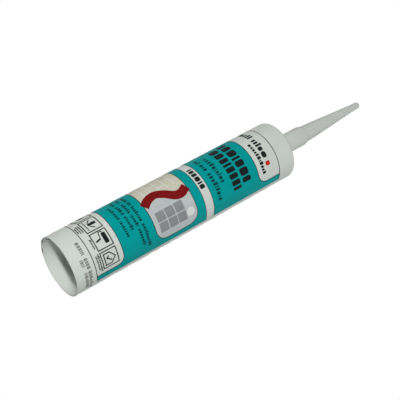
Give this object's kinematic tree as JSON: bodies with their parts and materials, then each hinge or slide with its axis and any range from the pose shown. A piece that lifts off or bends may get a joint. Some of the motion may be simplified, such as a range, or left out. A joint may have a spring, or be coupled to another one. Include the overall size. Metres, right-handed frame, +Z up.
{
  "type": "caulk tube",
  "caption": "Round plastic tube of sealing paste, open at the rear over a sliding piston, with a printed coat and a long tapered nozzle that is still closed at its tip.",
  "frame": {"origin": "middle of the open rear rim that the tube stands on", "axes": "+Z up the tube from the rear rim to the tip of the nozzle; -Y is the middle of the printed front"},
  "size_m": [0.0502, 0.0502, 0.317],
  "materials": {
    "barrel_plastic": "off-white moulded plastic with a low sheen",
    "nozzle_plastic": "milky natural plastic, slightly see-through",
    "piston_plastic": "soft milky plastic",
    "paste": "black paste",
    "teal_print": "teal ink with a low gloss",
    "picture_print": "printed fields of pale grey, beige and dark red"
  },
  "bodies": {
    "tube": {"barrel": "barrel_plastic", "sealant_paste": "paste", "rear_print_field": "teal_print", "front_print_field": "teal_print", "picture_print_field": "picture_print"},
    "piston": {"piston": "piston_plastic"},
    "nozzle": {"nozzle": "nozzle_plastic"}
  },
  "joints": [
    {"name": "piston_slide", "type": "slide", "parent": "tube", "child": "piston", "axis": [0, 0, 1], "range_m": [0, 0.175], "deforming": ["sealant_paste"]},
    {"name": "nozzle_lift", "type": "slide", "parent": "tube", "child": "nozzle", "axis": [0, 0, 1], "range_m": [0, 0.025]}
  ]
}
